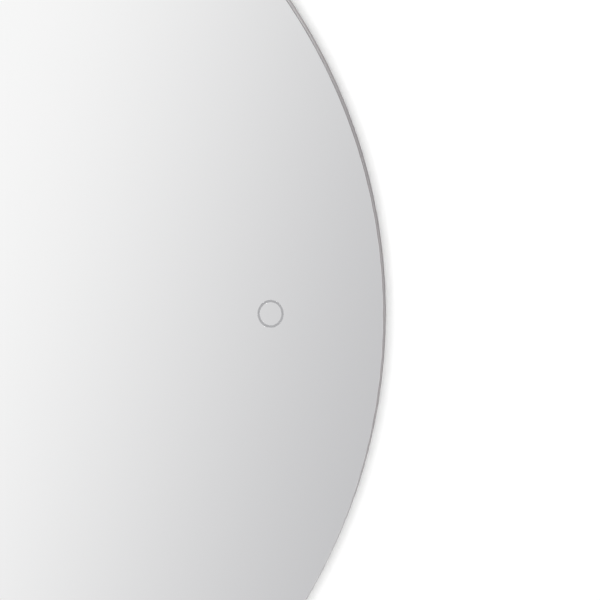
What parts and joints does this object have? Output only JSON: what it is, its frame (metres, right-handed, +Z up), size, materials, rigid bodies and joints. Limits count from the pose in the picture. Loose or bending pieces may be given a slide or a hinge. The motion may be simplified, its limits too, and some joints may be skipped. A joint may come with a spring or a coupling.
{
  "type": "lighted bathroom mirror",
  "caption": "Round back-lit wall mirror with an aluminium rim, touch sensor, heating pad, driver and terminal box, hung by hooks on a wall rail.",
  "frame": {"origin": "on the wall's face, at the centre of the wall rail's row of two slots", "axes": "+Z up, +X to the right as seen from the front, +Y into the wall; the mirror's face looks along -Y"},
  "size_m": [0.7999, 0.035, 0.8],
  "materials": {
    "backing_paint": "grey backing paint, satin",
    "bonding_foam": "black foam tape",
    "can_sleeve": "shrink sleeve",
    "case_grey": "fine spark-eroded texture",
    "case_white": "fine spark-eroded texture",
    "circuit_board": "green solder mask",
    "clear_guide": "clear acrylic",
    "clip_nylon": "natural nylon",
    "copper": "copper foil",
    "core_insulation": "brown, blue and green-yellow PVC",
    "ferrite": "dark ferrite with yellow winding tape",
    "foil": "etched foil",
    "frosted_cover": "frosted, translucent",
    "gland_black": "moulded polyamide",
    "grey_foam": "open-cell foam",
    "lead_black": "PVC sheath",
    "lead_earth": "green and yellow PVC",
    "lead_white": "PVC sheath",
    "led_yellow": "phosphor yellow on white",
    "mirror_silver": "polished silvered glass",
    "pad_film": "polyester film",
    "rim_aluminium": "satin anodised",
    "safety_film": "milky vinyl film, satin",
    "screw_steel": "zinc plated",
    "sheet_steel": "zinc plated sheet",
    "soft_rubber": "matt",
    "strip_white": "white solder mask",
    "terminal_brass": "turned",
    "terminal_plastic": "moulded",
    "tinned_copper": "tinned"
  },
  "bodies": {
    "wall_mount": {"wall_rail": "sheet_steel"},
    "mirror": {"mirror_glass": "mirror_silver", "backing_paint": "backing_paint", "safety_film": "safety_film", "bonding_tape": "bonding_foam", "rim_profile_left": "rim_aluminium", "rim_profile_right": "rim_aluminium", "rim_joiners": "sheet_steel", "joiner_screws": "screw_steel", "led_strip": "strip_white", "led_packages": "led_yellow", "led_diffuser": "frosted_cover", "upper_cross_bar": "sheet_steel", "lower_cross_bar": "sheet_steel", "cross_bar_screws": "screw_steel", "hanger_rail": "sheet_steel", "hanger_screws": "screw_steel", "hanger_nuts": "screw_steel", "wall_bumpers": "soft_rubber", "demister_pad": "pad_film", "demister_foil": "foil", "demister_terminals": "case_white", "driver_base": "case_white", "driver_cover": "case_white", "driver_screws": "screw_steel", "driver_board": "circuit_board", "driver_terminals": "terminal_plastic", "driver_transformer": "ferrite", "driver_capacitors": "can_sleeve", "driver_choke": "ferrite", "mounting_pads": "bonding_foam", "terminal_box": "case_grey", "lid_hinge_pin": "screw_steel", "terminal_block": "terminal_plastic", "terminal_screws": "terminal_brass", "gland_body": "gland_black", "gland_dome_nut": "gland_black", "gland_seal": "soft_rubber", "gland_locknut": "gland_black", "touch_case": "gland_black", "touch_cap": "gland_black", "touch_tape": "bonding_foam", "touch_board": "circuit_board", "touch_light_ring": "clear_guide", "touch_electrode": "copper", "touch_foam": "grey_foam", "mains_lead": "lead_black", "mains_cores": "core_insulation", "led_lead": "lead_white", "sensor_lead": "lead_black", "demister_lead": "lead_white", "earth_lead": "lead_earth", "earth_lug": "tinned_copper", "earth_screw": "screw_steel", "earth_nut": "screw_steel", "lead_clips": "clip_nylon"},
    "box_lid": {"terminal_lid": "case_grey"}
  },
  "joints": [
    {"name": "mirror_lift", "type": "slide", "parent": "wall_mount", "child": "mirror", "axis": [0, 0, 1], "range_m": [0, 0.012]},
    {"name": "terminal_lid_hinge", "type": "hinge", "parent": "mirror", "child": "box_lid", "pos_m": [-0.105, -0.0116, -0.4024], "axis": [1, 0, 0], "range_deg": [0, 110]}
  ]
}
